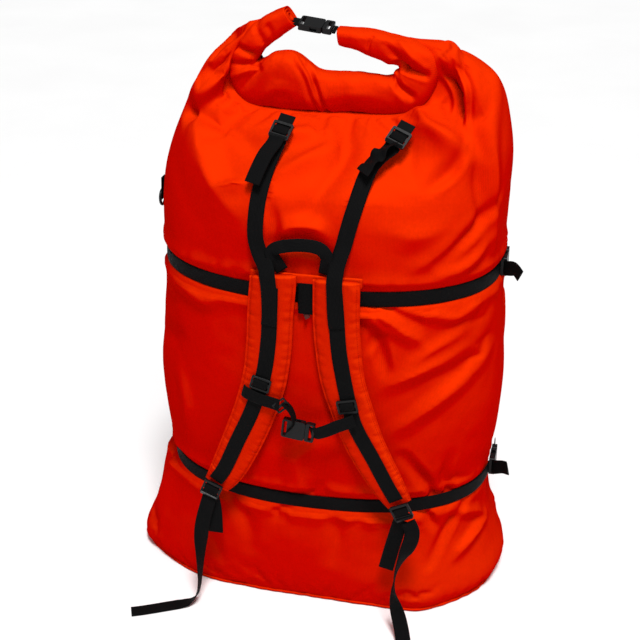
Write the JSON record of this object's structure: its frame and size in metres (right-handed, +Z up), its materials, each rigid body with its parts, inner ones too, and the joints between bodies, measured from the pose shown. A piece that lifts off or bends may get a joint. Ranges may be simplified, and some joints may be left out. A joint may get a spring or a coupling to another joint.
{
  "type": "roll-top dry bag",
  "caption": "Large roll-top dry bag with a backpack harness: padded shoulder straps, compression belts, a haul handle and a buckled roll closure.",
  "frame": {"origin": "middle of the base, on the ground", "axes": "+Z up towards the rolled mouth, -Y the harness side, +X to the right as the harness is seen"},
  "size_m": [0.6668, 0.5842, 0.9921],
  "materials": {
    "shell_fabric": "coated ripstop weave, slight sheen",
    "pad_fabric": "coated weave over foam",
    "pad_foam": "closed-cell foam",
    "contents": "soft packed gear",
    "stiffener": "flat plastic strip",
    "webbing": "ribbed woven webbing",
    "hardware": "moulded, satin"
  },
  "bodies": {
    "bag": {"body_tube": "shell_fabric", "base_panel": "shell_fabric", "base_welt": "shell_fabric", "packed_contents": "contents", "collar": "shell_fabric", "rolled_mouth": "shell_fabric", "stiffener_strip": "stiffener", "left_roll_tab": "webbing", "roll_buckle_socket": "hardware", "upper_belt": "webbing", "upper_belt_socket": "hardware", "upper_belt_tail": "webbing", "lower_belt": "webbing", "lower_belt_socket": "hardware", "lower_belt_tail": "webbing", "side_tab": "webbing", "side_ring": "hardware", "yoke_panel": "pad_fabric", "centre_patch": "webbing", "left_lifter_anchor": "webbing", "left_lifter_strap": "webbing", "left_lifter_tail": "webbing", "right_lifter_anchor": "webbing", "right_lifter_strap": "webbing", "right_lifter_tail": "webbing"},
    "haul_handle": {"haul_handle": "webbing"},
    "left_lifter_buckle": {"left_lifter_buckle": "hardware"},
    "right_lifter_buckle": {"right_lifter_buckle": "hardware"},
    "left_strap": {"left_pad": "pad_fabric", "left_pad_foam": "pad_foam", "left_pad_webbing": "webbing"},
    "right_strap": {"right_pad": "pad_fabric", "right_pad_foam": "pad_foam", "right_pad_webbing": "webbing"},
    "left_ladder": {"left_ladder_lock": "hardware", "left_short_tail": "webbing", "left_long_tail": "webbing"},
    "right_ladder": {"right_ladder_lock": "hardware", "right_short_tail": "webbing", "right_long_tail": "webbing"},
    "sternum": {"left_slider": "hardware", "right_slider": "hardware", "left_sternum_webbing": "webbing", "right_sternum_webbing": "webbing", "sternum_adjuster": "hardware", "sternum_socket": "hardware"},
    "sternum_plug": {"sternum_plug": "hardware"},
    "roll_plug": {"roll_buckle_plug": "hardware", "right_roll_tab": "webbing"},
    "upper_belt_plug": {"upper_belt_plug": "hardware", "upper_belt_link": "webbing"},
    "lower_belt_plug": {"lower_belt_plug": "hardware", "lower_belt_link": "webbing"}
  },
  "joints": [
    {"name": "haul_handle_fold", "type": "hinge", "parent": "bag", "child": "haul_handle", "pos_m": [0, -0.215, 0.641], "axis": [1, 0, 0], "range_deg": [0, 85]},
    {"name": "left_strap_swing", "type": "hinge", "parent": "bag", "child": "left_strap", "pos_m": [0, -0.2215, 0.613], "axis": [-1, 0, 0], "range_deg": [0, 45]},
    {"name": "right_strap_swing", "type": "hinge", "parent": "bag", "child": "right_strap", "pos_m": [0, -0.2215, 0.613], "axis": [-1, 0, 0], "range_deg": [0, 45]},
    {"name": "left_ladder_tilt", "type": "hinge", "parent": "left_strap", "child": "left_ladder", "pos_m": [-0.15358, -0.2345, 0.24291], "axis": [-0.922, 0, 0.3872], "range_deg": [0, 25]},
    {"name": "right_ladder_tilt", "type": "hinge", "parent": "right_strap", "child": "right_ladder", "pos_m": [0.15674, -0.2345, 0.24452], "axis": [-0.8944, 0, -0.4472], "range_deg": [0, 25]},
    {"name": "sternum_height", "type": "slide", "parent": "left_strap", "child": "sternum", "axis": [0, 0, 1], "range_m": [-0.025, 0.025]},
    {"name": "sternum_release", "type": "slide", "parent": "sternum", "child": "sternum_plug", "axis": [0.9929, 0, -0.1191], "range_m": [0, 0.016]},
    {"name": "roll_release", "type": "slide", "parent": "bag", "child": "roll_plug", "axis": [0.9929, 0, -0.1191], "range_m": [0, 0.016]},
    {"name": "upper_belt_release", "type": "slide", "parent": "bag", "child": "upper_belt_plug", "axis": [0, 1, 0], "range_m": [0, 0.016]},
    {"name": "lower_belt_release", "type": "slide", "parent": "bag", "child": "lower_belt_plug", "axis": [0, 1, 0], "range_m": [0, 0.016]},
    {"name": "left_lifter_tilt", "type": "hinge", "parent": "bag", "child": "left_lifter_buckle", "pos_m": [-0.05366, -0.1208, 0.83803], "axis": [-0.9712, 0.1662, 0.171], "range_deg": [0, 30]},
    {"name": "right_lifter_tilt", "type": "hinge", "parent": "bag", "child": "right_lifter_buckle", "pos_m": [0.1298, -0.12041, 0.83842], "axis": [-0.9103, 0.2885, 0.2967], "range_deg": [0, 30]}
  ],
  "couplings": [
    {"joint": "right_strap_swing", "follows": "left_strap_swing", "ratio": 1}
  ]
}
